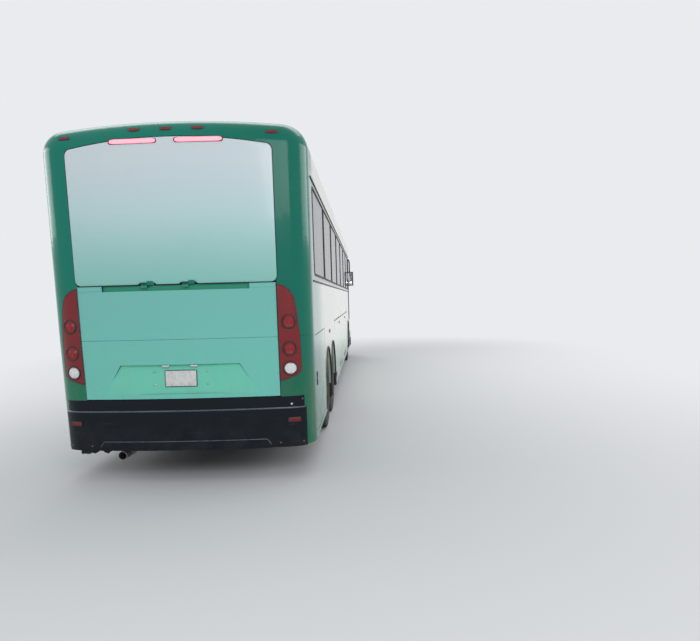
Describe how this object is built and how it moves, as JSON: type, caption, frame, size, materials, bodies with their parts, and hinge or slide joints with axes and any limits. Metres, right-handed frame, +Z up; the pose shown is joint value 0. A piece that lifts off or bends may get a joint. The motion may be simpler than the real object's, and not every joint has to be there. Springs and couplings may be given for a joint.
{
  "type": "three-axle intercity motorcoach",
  "caption": "Long high-deck passenger coach with upright rear engine door, tail lamp columns, underfloor baggage bays, steered front wheels and twin rear drive wheels.",
  "frame": {"origin": "on the ground, under the middle of the overall length with the mirrors", "axes": "+X to the vehicle's left, +Y to its rear, +Z up"},
  "size_m": [2.86, 14.12, 3.535],
  "materials": {
    "side_paint": "gloss cream white, fading to green near the rear",
    "roof_paint": "gloss off-white",
    "front_paint": "gloss off-white",
    "rear_paint": "gloss teal green rim round a pale mint panel",
    "mint_paint": "gloss mint",
    "bumper_plastic": "semi gloss blue black",
    "glass": "dark tinted",
    "red_lens": "deep red",
    "clear_lens": "clear",
    "floor_board": "dark grey covering",
    "frame_steel": "black chassis paint",
    "cast_block": "grey",
    "exhaust_steel": "dull",
    "seat_fabric": "dark blue",
    "dark_plastic": "black",
    "pale_trim": "pale grey, fine grain",
    "amber_lens": "amber",
    "chrome": "bright",
    "rubber": "black seals and flaps",
    "tyre": "black rubber",
    "wheel_metal": "machined"
  },
  "bodies": {
    "body": {"bay_frame": "frame_steel", "cabin_floor": "floor_board", "dashboard": "dark_plastic", "drive_axle": "frame_steel", "driver_platform": "floor_board", "driver_seat": "seat_fabric", "engine": "cast_block", "entrance_steps": "floor_board", "exhaust": "exhaust_steel", "front_axle": "frame_steel", "front_bumper": "bumper_plastic", "front_cap": "front_paint", "front_frame": "frame_steel", "headlamps": "clear_lens", "marker_lamps": "red_lens", "mirrors": "dark_plastic", "parcel_racks": "pale_trim", "rear_bumper": "bumper_plastic", "rear_cap": "rear_paint", "rear_frame": "frame_steel", "rear_wall": "pale_trim", "roof": "roof_paint", "seats": "seat_fabric", "side_wall_left": "side_paint", "side_wall_right": "side_paint", "side_windows": "glass", "skirt_left": "side_paint", "skirt_right": "side_paint", "steering_wheel": "dark_plastic", "tag_axle": "frame_steel", "tail_lamps": "red_lens", "windshield": "glass"},
    "knuckle_left": {"knuckle_left": "frame_steel"},
    "knuckle_right": {"knuckle_right": "frame_steel"},
    "front_wheel_left": {"tyre_front_left": "tyre", "wheel_front_left": "wheel_metal"},
    "drive_wheel_left": {"tyre_drive_left": "tyre", "wheel_drive_left": "wheel_metal"},
    "tag_wheel_left": {"tyre_tag_left": "tyre", "wheel_tag_left": "wheel_metal"},
    "baggage_left_1": {"baggage_door_left_1": "side_paint"},
    "baggage_left_2": {"baggage_door_left_2": "side_paint"},
    "baggage_left_3": {"baggage_door_left_3": "side_paint"},
    "service_left": {"service_door_left": "side_paint"},
    "front_wheel_right": {"tyre_front_right": "tyre", "wheel_front_right": "wheel_metal"},
    "drive_wheel_right": {"tyre_drive_right": "tyre", "wheel_drive_right": "wheel_metal"},
    "tag_wheel_right": {"tyre_tag_right": "tyre", "wheel_tag_right": "wheel_metal"},
    "baggage_right_1": {"baggage_door_right_1": "side_paint"},
    "baggage_right_2": {"baggage_door_right_2": "side_paint"},
    "baggage_right_3": {"baggage_door_right_3": "side_paint"},
    "service_right": {"service_door_right": "side_paint"},
    "engine_hatch": {"engine_door": "mint_paint"},
    "entrance": {"entrance_door": "side_paint", "entrance_glass": "glass"},
    "roof_hatch_front": {"hatch_front": "roof_paint"},
    "roof_hatch_rear": {"hatch_rear": "roof_paint"}
  },
  "joints": [
    {"name": "steer_left", "type": "hinge", "parent": "body", "child": "knuckle_left", "pos_m": [1.03, -4.82, 0.54], "axis": [0, 0, 1], "range_deg": [-40, 40]},
    {"name": "roll_front_left", "type": "hinge", "parent": "knuckle_left", "child": "front_wheel_left", "pos_m": [1.12, -4.82, 0.54], "axis": [1, 0, 0], "continuous": true},
    {"name": "roll_drive_left", "type": "hinge", "parent": "body", "child": "drive_wheel_left", "pos_m": [0.9475, 3.26, 0.54], "axis": [1, 0, 0], "continuous": true},
    {"name": "roll_tag_left", "type": "hinge", "parent": "body", "child": "tag_wheel_left", "pos_m": [1.12, 4.48, 0.54], "axis": [1, 0, 0], "continuous": true},
    {"name": "baggage_left_1_lift", "type": "hinge", "parent": "body", "child": "baggage_left_1", "pos_m": [1.29, -3.025, 1.412], "axis": [0, -1, 0], "range_deg": [0, 90]},
    {"name": "baggage_left_2_lift", "type": "hinge", "parent": "body", "child": "baggage_left_2", "pos_m": [1.29, -0.765, 1.412], "axis": [0, -1, 0], "range_deg": [0, 90]},
    {"name": "baggage_left_3_lift", "type": "hinge", "parent": "body", "child": "baggage_left_3", "pos_m": [1.29, 1.495, 1.412], "axis": [0, -1, 0], "range_deg": [0, 90]},
    {"name": "service_left_swing", "type": "hinge", "parent": "body", "child": "service_left", "pos_m": [1.29, 5.125, 0.9], "axis": [0, 0, -1], "range_deg": [0, 95]},
    {"name": "steer_right", "type": "hinge", "parent": "body", "child": "knuckle_right", "pos_m": [-1.03, -4.82, 0.54], "axis": [0, 0, 1], "range_deg": [-40, 40]},
    {"name": "roll_front_right", "type": "hinge", "parent": "knuckle_right", "child": "front_wheel_right", "pos_m": [-1.12, -4.82, 0.54], "axis": [1, 0, 0], "continuous": true},
    {"name": "roll_drive_right", "type": "hinge", "parent": "body", "child": "drive_wheel_right", "pos_m": [-0.9475, 3.26, 0.54], "axis": [1, 0, 0], "continuous": true},
    {"name": "roll_tag_right", "type": "hinge", "parent": "body", "child": "tag_wheel_right", "pos_m": [-1.12, 4.48, 0.54], "axis": [1, 0, 0], "continuous": true},
    {"name": "baggage_right_1_lift", "type": "hinge", "parent": "body", "child": "baggage_right_1", "pos_m": [-1.29, -3.025, 1.412], "axis": [0, 1, 0], "range_deg": [0, 90]},
    {"name": "baggage_right_2_lift", "type": "hinge", "parent": "body", "child": "baggage_right_2", "pos_m": [-1.29, -0.765, 1.412], "axis": [0, 1, 0], "range_deg": [0, 90]},
    {"name": "baggage_right_3_lift", "type": "hinge", "parent": "body", "child": "baggage_right_3", "pos_m": [-1.29, 1.495, 1.412], "axis": [0, 1, 0], "range_deg": [0, 90]},
    {"name": "service_right_swing", "type": "hinge", "parent": "body", "child": "service_right", "pos_m": [-1.29, 5.125, 0.9], "axis": [0, 0, 1], "range_deg": [0, 95]},
    {"name": "engine_door_lift", "type": "hinge", "parent": "body", "child": "engine_hatch", "pos_m": [0, 7.02209, 1.955], "axis": [1, 0, 0], "range_deg": [0, 85]},
    {"name": "entrance_swing", "type": "hinge", "parent": "body", "child": "entrance", "pos_m": [-1.29, -6.26, 1.3], "axis": [0, 0, 1], "range_deg": [0, 90]},
    {"name": "hatch_front_tilt", "type": "hinge", "parent": "body", "child": "roof_hatch_front", "pos_m": [0, -3.272, 3.512], "axis": [1, 0, 0], "range_deg": [0, 75]},
    {"name": "hatch_rear_tilt", "type": "hinge", "parent": "body", "child": "roof_hatch_rear", "pos_m": [0, 3.328, 3.512], "axis": [1, 0, 0], "range_deg": [0, 75]}
  ],
  "couplings": [
    {"joint": "steer_right", "follows": "steer_left", "ratio": 1}
  ]
}
